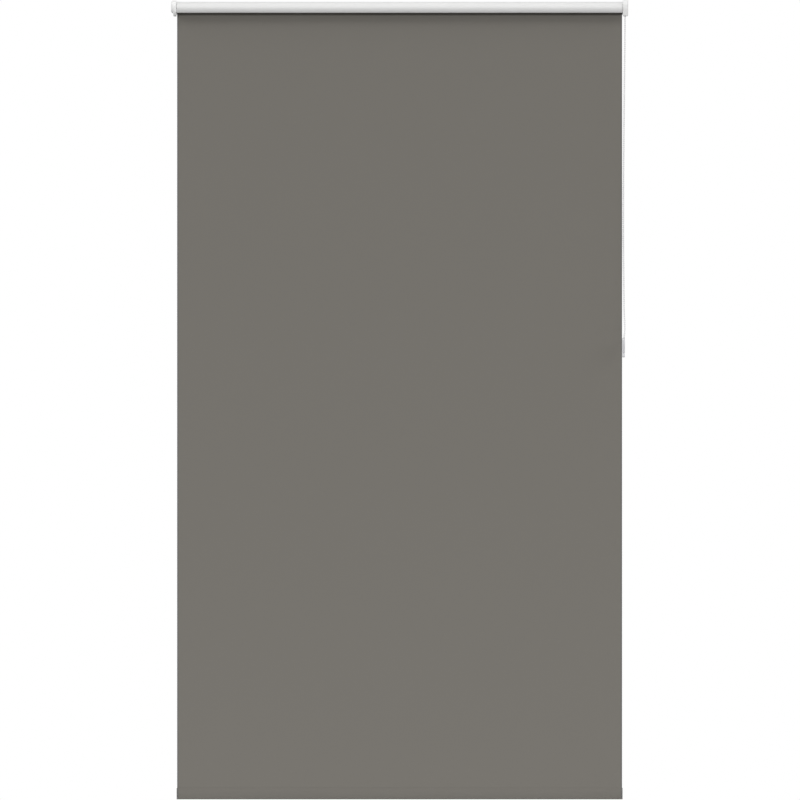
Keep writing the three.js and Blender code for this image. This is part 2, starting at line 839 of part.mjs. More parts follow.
add('weight_shell_right', weightShell(weightHalfWidth + 1), greyPlastic);
add('weight_shell_left', acrossWeight(weightShell(beadDiameter / 2 + 0.7)), greyPlastic);
add('weight_pulley', weightPulley(), whitePlastic);
add(
  'weight_pin',
  rod(weightPinRadius, weightX - pinHalf, weightX + pinHalf, weightY, pulleyZ, 16),
  springSteel,
);
add('weight_slug', weightSlug(), springSteel);
add('weight_foot', weightFoot(), greyPlastic);
add('weight_screw', weightScrew(), springSteel);

export default blind;
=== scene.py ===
"""A cassette roller blind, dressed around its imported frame.

Metres, in the frame's own axes: X along the roller, the room towards -Y, the wall at y = 0, Z up.
Sections of long pieces are lists of (y, z) points, drawn in millimetres and grown along X. Pieces that
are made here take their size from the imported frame. The others keep their frame mesh and get a finish.
"""

import json
import math

import bmesh
import bpy
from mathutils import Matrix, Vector


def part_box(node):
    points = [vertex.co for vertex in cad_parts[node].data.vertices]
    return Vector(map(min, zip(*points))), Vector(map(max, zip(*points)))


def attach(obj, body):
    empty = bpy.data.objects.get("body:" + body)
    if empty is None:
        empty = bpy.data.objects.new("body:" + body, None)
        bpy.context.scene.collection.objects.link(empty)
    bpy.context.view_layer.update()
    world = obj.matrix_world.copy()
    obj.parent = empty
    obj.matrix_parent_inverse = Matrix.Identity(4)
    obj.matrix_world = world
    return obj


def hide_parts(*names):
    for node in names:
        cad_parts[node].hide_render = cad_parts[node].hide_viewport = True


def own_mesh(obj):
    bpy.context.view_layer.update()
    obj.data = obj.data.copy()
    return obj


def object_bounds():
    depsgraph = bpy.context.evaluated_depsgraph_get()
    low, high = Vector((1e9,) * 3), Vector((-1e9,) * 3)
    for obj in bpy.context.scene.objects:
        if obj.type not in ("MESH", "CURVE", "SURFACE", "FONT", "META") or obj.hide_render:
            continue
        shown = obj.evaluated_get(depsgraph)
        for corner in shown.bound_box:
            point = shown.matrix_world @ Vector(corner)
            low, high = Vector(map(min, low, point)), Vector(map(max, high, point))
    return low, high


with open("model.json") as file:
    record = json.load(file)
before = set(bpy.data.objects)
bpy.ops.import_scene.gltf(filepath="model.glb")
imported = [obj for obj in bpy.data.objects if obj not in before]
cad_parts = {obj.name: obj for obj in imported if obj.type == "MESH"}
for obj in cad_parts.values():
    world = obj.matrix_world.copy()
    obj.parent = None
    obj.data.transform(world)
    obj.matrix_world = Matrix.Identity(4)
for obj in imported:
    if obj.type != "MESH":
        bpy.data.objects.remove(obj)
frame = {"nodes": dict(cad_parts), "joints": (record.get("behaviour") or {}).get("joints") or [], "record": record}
CAD_BOX = [list(corner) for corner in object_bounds()]

bl_info = {
    "name": "Cassette Roller Blind",
    "version": (1, 0, 0),
    "blender": (4, 5, 0),
    "location": "View3D > Sidebar > Blind",
    "description": "Builds the pieces and finishes of a cassette roller blind",
    "category": "Object",
}

MM = 0.001

# ------------------------------------------------------------------ sizes, in millimetres


def box_mm(node):
    """A node's lowest and highest corner in millimetres."""
    return [[value / MM for value in corner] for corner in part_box(node)]


COVER_LOW, COVER_HIGH = box_mm("cassette_cover")
CAP_LOW, CAP_HIGH = box_mm("right_end_cap")
LEFT_CAP_LOW, LEFT_CAP_HIGH = box_mm("left_end_cap")
ROLL_LOW, ROLL_HIGH = box_mm("fabric_roll")
TUBE_LOW, TUBE_HIGH = box_mm("roller_tube")
SHEET_LOW, SHEET_HIGH = box_mm("fabric_sheet")
HEM_LOW, HEM_HIGH = box_mm("hem_pocket")
BAR_CAP_HIGH = box_mm("bottom_bar_cap_right")[1]
SHELL_LOW, SHELL_HIGH = box_mm("weight_shell_right")
FOOT_LOW, FOOT_HIGH = box_mm("weight_foot")
PULLEY_LOW, PULLEY_HIGH = box_mm("weight_pulley")


def middle(low, high, axis):
    """Halfway between two corners, along one axis."""
    return (low[axis] + high[axis]) / 2


ROLLER_Y = middle(TUBE_LOW, TUBE_HIGH, 1)
ROLLER_Z = middle(TUBE_LOW, TUBE_HIGH, 2)
TUBE_RADIUS = (TUBE_HIGH[2] - TUBE_LOW[2]) / 2
ROLL_RADIUS = (ROLL_HIGH[2] - ROLL_LOW[2]) / 2
CAP_INNER = box_mm("right_cap_plate")[0][0]
CAP_OUTER = CAP_HIGH[0]
CAP_WALL = 1.8
SHEET_Y = middle(SHEET_LOW, SHEET_HIGH, 1)
PULLEY_X = middle(PULLEY_LOW, PULLEY_HIGH, 0)
PULLEY_Y = middle(PULLEY_LOW, PULLEY_HIGH, 1)
PULLEY_Z = middle(PULLEY_LOW, PULLEY_HIGH, 2)
PULLEY_PITCH_RADIUS = 9.2
POCKETS = 12
LIFT = next(joint for joint in frame["joints"] if joint["name"] == "blind_lift")["range_m"][1]


class BlindSettings(bpy.types.PropertyGroup):
    """The sizes and colours that a user would change."""

    fabric_colour: bpy.props.FloatVectorProperty(
        name="Fabric",
        description="Colour of the blackout fabric",
        subtype="COLOR",
        size=3,
        min=0.0,
        max=1.0,
        default=(0.181, 0.171, 0.152),
    )
    trim_colour: bpy.props.FloatVectorProperty(
        name="Trim",
        description="Colour of the cover and the end caps",
        subtype="COLOR",
        size=3,
        min=0.0,
        max=1.0,
        default=(0.77, 0.77, 0.765),
    )
    chain_colour: bpy.props.FloatVectorProperty(
        name="Chain",
        description="Colour of the beads",
        subtype="COLOR",
        size=3,
        min=0.0,
        max=1.0,
        default=(0.82, 0.82, 0.83),
    )
    weight_colour: bpy.props.FloatVectorProperty(
        name="Chain weight",
        description="Colour of the chain weight's case",
        subtype="COLOR",
        size=3,
        min=0.0,
        max=1.0,
        default=(0.68, 0.68, 0.70),
    )
    thread_pitch: bpy.props.FloatProperty(
        name="Thread pitch",
        description="Distance from one thread of the weave to the next",
        unit="LENGTH",
        min=0.0002,
        max=0.002,
        default=0.00045,
    )
    fabric_thickness: bpy.props.FloatProperty(
        name="Fabric thickness",
        description="Thickness of the fabric",
        unit="LENGTH",
        min=0.0001,
        max=0.0005,
        default=0.0003,
    )
    bead_diameter: bpy.props.FloatProperty(
        name="Bead diameter",
        description="Diameter of one bead of the chain",
        unit="LENGTH",
        min=0.004,
        max=0.0045,
        default=0.0045,
    )
    bead_pitch: bpy.props.FloatProperty(
        name="Bead pitch",
        description="Distance from one bead to the next",
        unit="LENGTH",
        min=0.0055,
        max=0.008,
        default=0.006,
    )


def settings():
    return bpy.context.scene.blind


# ------------------------------------------------------------------ shader arithmetic


class Wire:
    """An output socket that takes part in Python expressions, which add their Math nodes."""

    def __init__(self, paint, socket):
        self.paint = paint
        self.socket = socket

    def maths(self, operation, *values):
        sockets = dict(enumerate(values))
        return self.paint.node("Math", {"operation": operation}, sockets)

    def __add__(self, other):
        return self.maths("ADD", self, other)

    def __radd__(self, other):
        return self.maths("ADD", other, self)

    def __sub__(self, other):
        return self.maths("SUBTRACT", self, other)

    def __rsub__(self, other):
        return self.maths("SUBTRACT", other, self)

    def __mul__(self, other):
        return self.maths("MULTIPLY", self, other)

    def __rmul__(self, other):
        return self.maths("MULTIPLY", other, self)

    def __truediv__(self, other):
        return self.maths("DIVIDE", self, other)

    def __abs__(self):
        return self.maths("ABSOLUTE", self)

    def sine(self):
        return self.maths("SINE", self)


class Paint:
    """A material and its node tree."""

    def __init__(self, name):
        self.material = bpy.data.materials.new(name)
        self.material.use_nodes = True
        self.tree = self.material.node_tree
        self.tree.nodes.clear()

    def node(self, kind, node_settings=None, sockets=None, output=0):
        """Adds a node, sets it up, fills its sockets with values or wires, and gives one output, if any."""
        made = self.tree.nodes.new("ShaderNode" + kind)
        for key, value in (node_settings or {}).items():
            setattr(made, key, value)
        for key, value in (sockets or {}).items():
            if isinstance(value, Wire):
                self.tree.links.new(value.socket, made.inputs[key])
            else:
                made.inputs[key].default_value = value
        return Wire(self, made.outputs[output]) if made.outputs else None

    def place(self):
        """The point being shaded, in the object's own coordinates, in metres."""
        return self.node("TexCoord", output="Object")

    def parts(self, vector):
        """The X, Y and Z of a vector."""
        first = self.node("SeparateXYZ", sockets={"Vector": vector})
        outputs = first.socket.node.outputs
        return [Wire(self, outputs[axis]) for axis in ("X", "Y", "Z")]

    def stretch(self, vector, scale):
        """The vector with each axis scaled."""
        return self.node("VectorMath", {"operation": "MULTIPLY"}, {0: vector, 1: scale})

    def noise(self, vector, scale, detail=3.0, roughness=0.5):
        """Noise from 0 to 1, with scale in cycles per metre."""
        sockets = {"Vector": vector, "Scale": scale, "Detail": detail, "Roughness": roughness}
        return self.node("TexNoise", sockets=sockets)

    def spread(self, value, from_low, from_high, to_low, to_high, kind="SMOOTHSTEP"):
        """A value carried from one range to another, and kept inside it."""
        sockets = {
            "Value": value,
            "From Min": from_low,
            "From Max": from_high,
            "To Min": to_low,
            "To Max": to_high,
        }
        return self.node("MapRange", {"interpolation_type": kind}, sockets)

    def between(self, factor, first, second):
        """A colour between two others."""
        mix = self.node("Mix", {"data_type": "RGBA"}, {0: factor})
        node = mix.socket.node
        for key, colour in ((6, first), (7, second)):
            if isinstance(colour, Wire):
                self.tree.links.new(colour.socket, node.inputs[key])
            else:
                node.inputs[key].default_value = (*colour, 1.0)
        return Wire(self, node.outputs[2])

    def finish(self, colour, roughness, height=None, depth=0.0001, strength=1.0, **constants):
        """Ends the tree in a Principled shader, with a bump from a height if there is one."""
        sockets = {"Base Color": colour, "Roughness": roughness}
        for key, value in constants.items():
            sockets[key.replace("_", " ")] = value
        if height is not None:
            bump = {"Height": height, "Distance": depth, "Strength": strength}
            sockets["Normal"] = self.node("Bump", sockets=bump)
        shader = self.node("BsdfPrincipled", sockets=sockets)
        self.node("OutputMaterial", sockets={"Surface": shader})
        return self.material


def tint(colour, factor):
    """A colour made darker or lighter."""
    return tuple(min(value * factor, 1.0) for value in colour)


# ------------------------------------------------------------------ finishes

MADE = {}


def finish_of(maker):
    """The material a maker gives, made once."""
    if maker.__name__ not in MADE:
        MADE[maker.__name__] = maker()
    return MADE[maker.__name__]


def blackout_fabric():
    """Tight plain weave with faint slubs and a matt coating; a flat, greyer and darker band is painted along each
    side edge.
    """
    paint = Paint("blackout_fabric")
    colour = tuple(settings().fabric_colour)
    place = paint.place()
    x, _, z = paint.parts(place)
    turn = 2 * math.pi / settings().thread_pitch
    warp = (x * turn).sine()
    weft = (z * turn).sine()
    weave = warp * weft
    warp_slubs = paint.noise(paint.stretch(place, (1800.0, 1.0, 14.0)), 1.0, 2.0)
    weft_slubs = paint.noise(paint.stretch(place, (14.0, 1.0, 1800.0)), 1.0, 2.0)
    mottle = paint.noise(place, 3.0, 2.0)
    slubs = (warp_slubs - 0.5) * 0.10 + (weft_slubs - 0.5) * 0.10
    tone = weave * 0.035 + slubs + (mottle - 0.5) * 0.03
    cloth = paint.between(tone + 0.5, tint(colour, 0.80), tint(colour, 1.20))
    side_edge = SHEET_HIGH[0] * MM
    # The last few millimetres at each side edge are painted a flat colour, greyer and darker than the cloth.
    edge = paint.spread(abs(x), side_edge - 0.0046, side_edge - 0.0030, 0.0, 0.85)
    cut = (colour[1] * 0.83,) * 3
    shown = paint.between(edge, cloth, cut)
    height = weave * 0.5 + (warp_slubs + weft_slubs) * 0.4
    rough = paint.spread(warp_slubs, 0.3, 0.7, 0.82, 0.94)
    constants = {"Specular_IOR_Level": 0.25, "Sheen_Weight": 0.05, "Sheen_Roughness": 0.6}
    return paint.finish(shown, rough, height, 0.00006, 0.8, **constants)


def powder_coat():
    """White powder coating, with a fine orange peel."""
    paint = Paint("powder_coat")
    colour = tuple(settings().trim_colour)
    place = paint.place()
    peel = paint.noise(paint.stretch(place, (0.35, 1.0, 1.0)), 700.0, 2.0)
    cloud = paint.noise(paint.stretch(place, (0.2, 1.0, 1.0)), 30.0, 2.0)
    shown = paint.between(cloud, tint(colour, 0.985), tint(colour, 1.012))
    rough = paint.spread(peel, 0.3, 0.7, 0.36, 0.46)
    return paint.finish(shown, rough, peel, 0.00004, 0.5, Specular_IOR_Level=0.4)


def moulded(name, colour, grain, depth):
    """Moulded plastic with a fine spark-eroded grain."""
    paint = Paint(name)
    place = paint.place()
    pits = paint.noise(place, grain, 3.0, 0.6)
    cloud = paint.noise(place, 60.0, 2.0)
    shown = paint.between(cloud, tint(colour, 0.975), tint(colour, 1.02))
    rough = paint.spread(pits, 0.3, 0.7, 0.36, 0.50)
    return paint.finish(shown, rough, pits, depth, 0.6, Specular_IOR_Level=0.45)


def white_plastic():
    return moulded("white_plastic", tint(settings().trim_colour, 1.09), 1400.0, 0.00003)


def grey_plastic():
    return moulded("grey_plastic", tuple(settings().weight_colour), 1400.0, 0.00004)


def matching_plastic():
    """Plastic coloured to match the fabric."""
    return moulded("matching_plastic", tint(settings().fabric_colour, 0.8), 1600.0, 0.00004)


def bead_plastic():
    """Glossy white bead plastic."""
    paint = Paint("bead_plastic")
    colour = tuple(settings().chain_colour)
    place = paint.place()
    cloud = paint.noise(place, 250.0, 2.0)
    shown = paint.between(cloud, tint(colour, 0.96), tint(colour, 1.03))
    rough = paint.spread(cloud, 0.3, 0.7, 0.24, 0.34)
    return paint.finish(shown, rough, cloud, 0.00002, 0.3, Coat_Roughness=0.15)


def drawn_metal(name, colour, along, low, high):
    """Drawn or brushed metal: fine lines along one axis."""
    paint = Paint(name)
    place = paint.place()
    across = tuple(3.0 if axis == along else 2500.0 for axis in range(3))
    lines = paint.noise(paint.stretch(place, across), 1.0, 3.0, 0.6)
    cloud = paint.noise(place, 45.0, 3.0)
    shown = paint.between(lines * 0.6 + cloud * 0.4, tint(colour, 0.86), tint(colour, 1.1))
    rough = paint.spread(lines, 0.25, 0.75, low, high)
    return paint.finish(shown, rough, lines, 0.00002, 0.4, Metallic=1.0)


def bare_aluminium():
    return drawn_metal("bare_aluminium", (0.60, 0.61, 0.63), 0, 0.30, 0.45)


def plated_steel():
    return drawn_metal("plated_steel", (0.50, 0.51, 0.53), 2, 0.26, 0.42)


FINISH_OF_SLOT = {
    "white_plastic": white_plastic,
    "grey_plastic": grey_plastic,
    "white_aluminium": powder_coat,
    "bare_aluminium": bare_aluminium,
    "steel": plated_steel,
    "blackout_fabric": blackout_fabric,
    "fabric_coloured_plastic": matching_plastic,
    "bead_plastic": bead_plastic,
}

SLOT_OF = {row["node"]: row["material_slot"] for row in frame["record"]["subparts"]}


# ------------------------------------------------------------------ mesh tools


def arc(centre, radius_y, radius_z, start, end, steps):
    """Points on an arc, from start to end in degrees, 0 at +Y and 90 at +Z."""
    points = []
    for step in range(steps + 1):
        angle = math.radians(start + (end - start) * step / steps)
        points.append((centre[0] + radius_y * math.cos(angle), centre[1] + radius_z * math.sin(angle)))
    return points


def thicken(path, thickness, end_steps=4):
    """The outline of a bent strip with round ends, counterclockwise seen from +X or clockwise."""
    half = thickness / 2
    points = [Vector(point) for point in path]
    count = len(points)
    normals = []
    for index in range(count):
        before = points[max(index - 1, 0)]
        after = points[min(index + 1, count - 1)]
        along = (after - before).normalized()
        normals.append(Vector((-along.y, along.x)))
    left = [point + normal * half for point, normal in zip(points, normals)]
    right = [point - normal * half for point, normal in zip(points, normals)]

    def round_end(centre, normal, turn):
        found = []
        for step in range(1, end_steps):
            angle = math.pi * step / end_steps
            ahead = Vector((normal.y, -normal.x)) * turn
            found.append(centre + normal * half * math.cos(angle) + ahead * half * math.sin(angle))
        return found

    end = round_end(points[-1], normals[-1], 1)
    start = round_end(points[0], -normals[0], 1)
    return [tuple(p) for p in [*left, *end, *reversed(right), *start]]


def rings_from(stations, outline_at):
    """Rings for a loft: each station is (x, value) and outline_at(value) gives (y, z) points."""
    return [[(x, y, z) for y, z in outline_at(value)] for x, value in stations]


def make(name, points, faces, body, slot, replaces=(), sharp=35, finish=None):
    """One piece from points in millimetres: shaded, finished, riding on its body."""
    mesh = bpy.data.meshes.new(name)
    mesh.from_pydata([Vector(p) * MM for p in points], [], faces)
    made = bpy.data.objects.new(name, mesh)
    bpy.context.scene.collection.objects.link(made)
    tidy(made, sharp)
    made.data.materials.append(finish_of(finish or FINISH_OF_SLOT[slot]))
    if replaces:
        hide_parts(*replaces)
    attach(made, body)
    return made


def tidy(thing, sharp):
    """Outward faces, smooth shading and sharp edges where two faces meet steeply."""
    mesh = thing.data
    work = bmesh.new()
    work.from_mesh(mesh)
    bmesh.ops.remove_doubles(work, verts=work.verts, dist=1e-7)
    bmesh.ops.recalc_face_normals(work, faces=work.faces)
    work.to_mesh(mesh)
    work.free()
    for polygon in mesh.polygons:
        polygon.use_smooth = True
    mesh.set_sharp_from_angle(angle=math.radians(sharp))
    mesh.update()


def loft(rings):
    """Points and faces of a closed solid through rings of equal length."""
    count = len(rings[0])
    points = [point for ring in rings for point in ring]
    faces = []
    for ring in range(len(rings) - 1):
        for index in range(count):
            a = ring * count + index
            b = ring * count + (index + 1) % count
            faces.append((a, b, b + count, a + count))
    last = (len(rings) - 1) * count
    faces.append(tuple(reversed(range(count))))
    faces.append(tuple(range(last, last + count)))
    return points, faces


def ring_loft(rings):
    """Points and faces of a solid whose rings go round and meet: the last joins the first."""
    count = len(rings[0])
    points = [point for ring in rings for point in ring]
    faces = []
    for ring in range(len(rings)):
        following = (ring + 1) % len(rings)
        for index in range(count):
            nearby = (index + 1) % count
            faces.append(
                (
                    ring * count + index,
                    ring * count + nearby,
                    following * count + nearby,
                    following * count + index,
                )
            )
    return points, faces


def joined(*solids):
    """Several (points, faces) as one."""
    points = []
    faces = []
    for solid_points, solid_faces in solids:
        start = len(points)
        points.extend(solid_points)
        faces.extend(tuple(index + start for index in face) for face in solid_faces)
    return points, faces


def carve(piece, *cutters, operation="DIFFERENCE"):
    """Cuts closed solids, each (points, faces) in millimetres, out of a piece, or joins them to it."""
    tools = []
    for number, (points, faces) in enumerate(cutters):
        mesh = bpy.data.meshes.new(f"cutter_{number}")
        mesh.from_pydata([Vector(p) * MM for p in points], [], faces)
        tool = bpy.data.objects.new(mesh.name, mesh)
        bpy.context.scene.collection.objects.link(tool)
        tidy(tool, 30)
        modifier = piece.modifiers.new("cut", "BOOLEAN")
        modifier.operation = operation
        modifier.solver = "EXACT"
        modifier.object = tool
        tools.append(tool)
    bpy.context.view_layer.update()
    graph = bpy.context.evaluated_depsgraph_get()
    done = bpy.data.meshes.new_from_object(piece.evaluated_get(graph))
    piece.modifiers.clear()
    piece.data = done
    for tool in tools:
        bpy.data.objects.remove(tool)
    tidy(piece, 35)


def block(low, high):
    """A plain box as (points, faces), for cutting."""
    ring = [(low[1], low[2]), (high[1], low[2]), (high[1], high[2]), (low[1], high[2])]
    return loft([[(x, y, z) for y, z in ring] for x in (low[0], high[0])])


def rod(axis, radius, start, end, steps=32):
    """A cylinder between two points along an axis, as (points, faces), for cutting."""
    rings = []
    others = [other for other in range(3) if other != axis]
    for place in (start, end):
        ring = []
        for step in range(steps):
            angle = 2 * math.pi * step / steps
            point = list(place)
            point[others[0]] += radius * math.cos(angle)
            point[others[1]] += radius * math.sin(angle)
            ring.append(tuple(point))
        rings.append(ring)
    return loft(rings)


def dress(node, bevel=0.0):
    """Gives a CAD node its finish, and fine rounded edges if bevel is given in millimetres."""
    thing = frame["nodes"][node]
    thing.data.materials.clear()
    thing.data.materials.append(finish_of(FINISH_OF_SLOT[SLOT_OF[node]]))
    if bevel:
        rounding = thing.modifiers.new("rounded_edges", "BEVEL")
        rounding.width = bevel * MM
        rounding.segments = 2
        rounding.limit_method = "ANGLE"
        rounding.angle_limit = math.radians(40)
        rounding.harden_normals = False


# ------------------------------------------------------------------ bead chain

# The route of the two runs in millimetres, from the wheel down to the pulley.
FRONT_RUN = (
    (641.2, -38.5, -60.0),
    (640.1, -38.9, -150.0),
    (638.4, -39.5, -280.0),
    (636.8, -40.3, -420.0),
    (635.7, -41.2, -560.0),
    (635.6, -41.8, -660.0),
    (637.2, -42.7, -770.0),
    (638.4, -43.6, -860.0),
    (640.2, -44.1, -902.0),
    (639.9, -44.3, -922.0),
    (637.8, -44.4, -939.0),
)
REAR_RUN = (
    (641.3, -15.6, -60.0),
    (640.4, -16.1, -150.0),
    (639.0, -17.2, -280.0),
    (637.6, -18.8, -420.0),
    (636.8, -20.6, -560.0),
    (636.8, -21.9, -660.0),
    (637.8, -23.5, -770.0),
    (638.8, -25.0, -860.0),
    (640.5, -25.5, -902.0),
    (640.0, -25.8, -922.0),
    (637.8, -25.95, -939.0),
)
WHEEL_X = 641.5


def smooth_run(points, steps):
    """A smooth line through points, with steps stretches between each two of them."""
    line = [Vector(p) for p in points]
    padded_line = [2 * line[0] - line[1], *line, 2 * line[-1] - line[-2]]
    found = []
    for index in range(1, len(padded_line) - 2):
        p0, p1, p2, p3 = padded_line[index - 1 : index + 3]
        first = (p2 - p0) * ((p2 - p1).length / ((p2 - p1).length + (p1 - p0).length))
        second = (p3 - p1) * ((p2 - p1).length / ((p3 - p2).length + (p2 - p1).length))
        for step in range(steps):
            t = step / steps
            h00 = 2 * t**3 - 3 * t**2 + 1
            h10 = t**3 - 2 * t**2 + t
            h01 = -2 * t**3 + 3 * t**2
            h11 = t**3 - t**2
            found.append(h00 * p1 + h10 * first + h01 * p2 + h11 * second)
    found.append(line[-1])
    return found


def half_turn(centre, radius, start, end, steps):
    """Points on an arc in a plane across X, in degrees from +Y towards +Z."""
    found = []
    for step in range(steps + 1):
        angle = math.radians(start + (end - start) * step / steps)
        offset = Vector((0.0, radius * math.cos(angle), radius * math.sin(angle)))
        found.append(Vector(centre) + offset)
    return found


def chain_route():
    """The chain's mid line once round, in millimetres: it starts and ends on top of the wheel."""
    wheel_radius = settings().bead_pitch / MM * POCKETS / (2 * math.pi)
    wheel = (WHEEL_X, ROLLER_Y, ROLLER_Z)
    pulley = (PULLEY_X, PULLEY_Y, PULLEY_Z)
    front_top = half_turn(wheel, wheel_radius, 90, 180, 12)
    rear_top = half_turn(wheel, wheel_radius, 0, 90, 12)
    under = half_turn(pulley, PULLEY_PITCH_RADIUS, 180, 360, 20)
    front = smooth_run([front_top[-1], *FRONT_RUN, under[0]], 6)
    rear = smooth_run([under[-1], *reversed(REAR_RUN), rear_top[0]], 6)
    return [*front_top[:-1], *front[:-1], *under[:-1], *rear[:-1], *rear_top]


def walk(route, spacing_count):
    """Evenly spaced points along a route, and the distance between two of them."""
    lengths = [0.0]
    for before, after in zip(route, route[1:]):
        lengths.append(lengths[-1] + (after - before).length)
    pitch = lengths[-1] / spacing_count
    found = []
    index = 0
    for number in range(spacing_count):
        goal = number * pitch
        while lengths[index + 1] < goal:
            index += 1
        share = (goal - lengths[index]) / (lengths[index + 1] - lengths[index])
        found.append(route[index].lerp(route[index + 1], share))
    return found, pitch


def ball(centre, radius, along, segments=12, rows=8):
    """One bead as (points, faces), its poles on the cord."""
    axis = along.normalized()
    side = axis.cross(Vector((1.0, 0.0, 0.0))).normalized()
    other = axis.cross(side)
    points = [centre - axis * radius]
    for row in range(1, rows):
        angle = math.pi * row / rows
        for segment in range(segments):
            turn = 2 * math.pi * segment / segments
            out = side * math.cos(turn) + other * math.sin(turn)
            points.append(centre - axis * radius * math.cos(angle) + out * radius * math.sin(angle))
    points.append(centre + axis * radius)
    faces = []
    for segment in range(segments):
        following = (segment + 1) % segments
        faces.append((0, 1 + following, 1 + segment))
        for row in range(rows - 2):
            a = 1 + row * segments
            faces.append((a + segment, a + following, a + segments + following, a + segments + segment))
        top = 1 + (rows - 2) * segments
        faces.append((top + segment, top + following, len(points) - 1))
    return points, faces


def tube(line, radius, segments=8):
    """A closed ring of tube along a closed line, as (points, faces)."""
    rings = []
    count = len(line)
    for index in range(count):
        along = (line[(index + 1) % count] - line[index - 1]).normalized()
        side = along.cross(Vector((1.0, 0.0, 0.0))).normalized()
        other = along.cross(side)
        ring = []
        for segment in range(segments):
            turn = 2 * math.pi * segment / segments
            ring.append(line[index] + (side * math.cos(turn) + other * math.sin(turn)) * radius)
        rings.append(ring)
    return ring_loft(rings)


class BLIND_OT_bead_chain(bpy.types.Operator):
    """Strings moulded beads on a cord, round the wheel and the weight's pulley"""

    bl_idname = "blind.bead_chain"
    bl_label = "Bead chain"

    def execute(self, context):
        radius = settings().bead_diameter / MM / 2
        route = chain_route()
        length = sum((after - before).length for before, after in zip(route, route[1:]))
        beads = round(length * MM / settings().bead_pitch)
        centres, pitch = walk(route, beads)
        solids = []
        for index, centre in enumerate(centres):
            along = centres[(index + 1) % beads] - centres[index - 1]
            solids.append(ball(centre, radius, along))
        cord_line, _ = walk(route, beads * 2)
        solids.append(tube(cord_line, radius * 0.3))
        nodes = ("chain_over_wheel", "chain_run_front", "chain_run_rear", "chain_under_pulley")
        chain = make("bead_chain", *joined(*solids), "chain_loop", "bead_plastic", nodes)
        tuple(centres[0] * MM)
        pitch * (beads - 1) * MM
        [tuple(point * MM) for point in centres]
        return {"FINISHED"}


# ------------------------------------------------------------------ cassette


COVER_RADIUS = 17.5
COVER_THICKNESS = 1.3


def cover_path():
    """The cover's mid line, as the frame has it: flat on top, and a round front that ends in the lip."""
    half = COVER_THICKNESS / 2
    top = COVER_HIGH[2]
    radius = COVER_RADIUS - half
    centre = (COVER_LOW[1] + COVER_RADIUS, top - COVER_RADIUS)
    below = math.degrees(math.asin((centre[1] - COVER_LOW[2]) / COVER_RADIUS))
    back = COVER_HIGH[1]
    steps = 6
    flat = [(back - step * (back - centre[0]) / steps, top - half) for step in range(steps)]
    return [*flat, *arc(centre, radius, radius, 90, 180 + below, 44)]


class BLIND_OT_cover(bpy.types.Operator):
    """Extrudes the powder-coated cover of the cassette"""

    bl_idname = "blind.cover"
    bl_label = "Cassette cover"

    def execute(self, context):
        chamfer = 0.25
        low, high = COVER_LOW[0], COVER_HIGH[0]
        stations = [(low, chamfer), (low + chamfer, 0), (high - chamfer, 0), (high, chamfer)]
        rings = rings_from(stations, lambda inset: thicken(cover_path(), COVER_THICKNESS - 2 * inset))
        make("cover", *loft(rings), "root", "white_aluminium", ("cassette_cover",))
        return {"FINISHED"}


BODY_BOTTOM = -13.6
CAPS = {
    "left": {
        "low": LEFT_CAP_LOW,
        "high": LEFT_CAP_HIGH,
        "front_radius": 16.0,
        "edge": 6.0,
        "foot_knee": -5.0,
        "foot_toe": -50.0,
        "foot_corner": 17.0,
        "foot_outer": 643.8,
        "side": -1,
    },
    "right": {
        "low": CAP_LOW,
        "high": CAP_HIGH,
        "front_radius": 15.0,
        "edge": 3.0,
        "foot_knee": -3.0,
        "foot_toe": -43.4,
        "foot_corner": 2.0,
        "foot_outer": CAP_OUTER,
        "side": 1,
    },
}
FOOT_TOP = 1.0
FOOT_EDGE = 3.0
SLOT_FRONT = -42.5
SLOT_BACK = -11.5
SLOT_HEIGHT = 6.0
SLOT_SPARE = 0.6


def body_outline(cap, inset):
    """Side outline of an end cap's body, drawn smaller by inset."""
    back = max(2.5 - inset, 0.3)
    front = max(cap["front_radius"] - inset, 0.6)
    y0 = cap["low"][1] + inset
    y1 = cap["high"][1] - inset
    z0 = BODY_BOTTOM + inset
    z1 = cap["high"][2] - inset
    return [
        *arc((y1 - back, z0 + back), back, back, -90, 0, 6),
        *arc((y1 - back, z1 - back), back, back, 0, 90, 6),
        *arc((y0 + front, z1 - front), front, front, 90, 180, 20),
        *arc((y0 + front, z0 + front), front, front, 180, 270, 20),
    ]


def foot_outline(cap, inset):
    """Side outline of an end cap's foot, drawn smaller by inset.

    Below the knee its front goes back to the toe.
    """
    back = max(2.5 - inset, 0.3)
    front = max(cap["foot_corner"] - inset, 0.3)
    y1 = cap["high"][1] - inset - 0.02
    z0 = cap["low"][2] + inset
    return [
        *arc((y1 - back, z0 + back), back, back, -90, 0, 6),
        (y1, FOOT_TOP),
        (cap["low"][1] + inset, FOOT_TOP),
        (cap["low"][1] + inset, cap["foot_knee"]),
        *arc((cap["foot_toe"] + inset + front, z0 + front), front, front, 180, 270, 10),
    ]


def rounded_stations(start, end, edge, inset=0.0):
    """Stations from start to an end that is rounded over by edge."""
    steps = 10
    stations = [(start, inset)]
    for step in range(steps + 1):
        angle = math.pi / 2 * step / steps
        stations.append((end - edge * (1 - math.sin(angle)), inset + edge * (1 - math.cos(angle))))
    return stations


def cap_part(cap, outline, start, end, edge, inset=0.0):
    """One loft of a cap, on its own side of the blind."""
    stations = [(cap["side"] * x, value) for x, value in rounded_stations(start, end, edge, inset)]
    return loft(rings_from(stations, lambda value: outline(cap, value)))


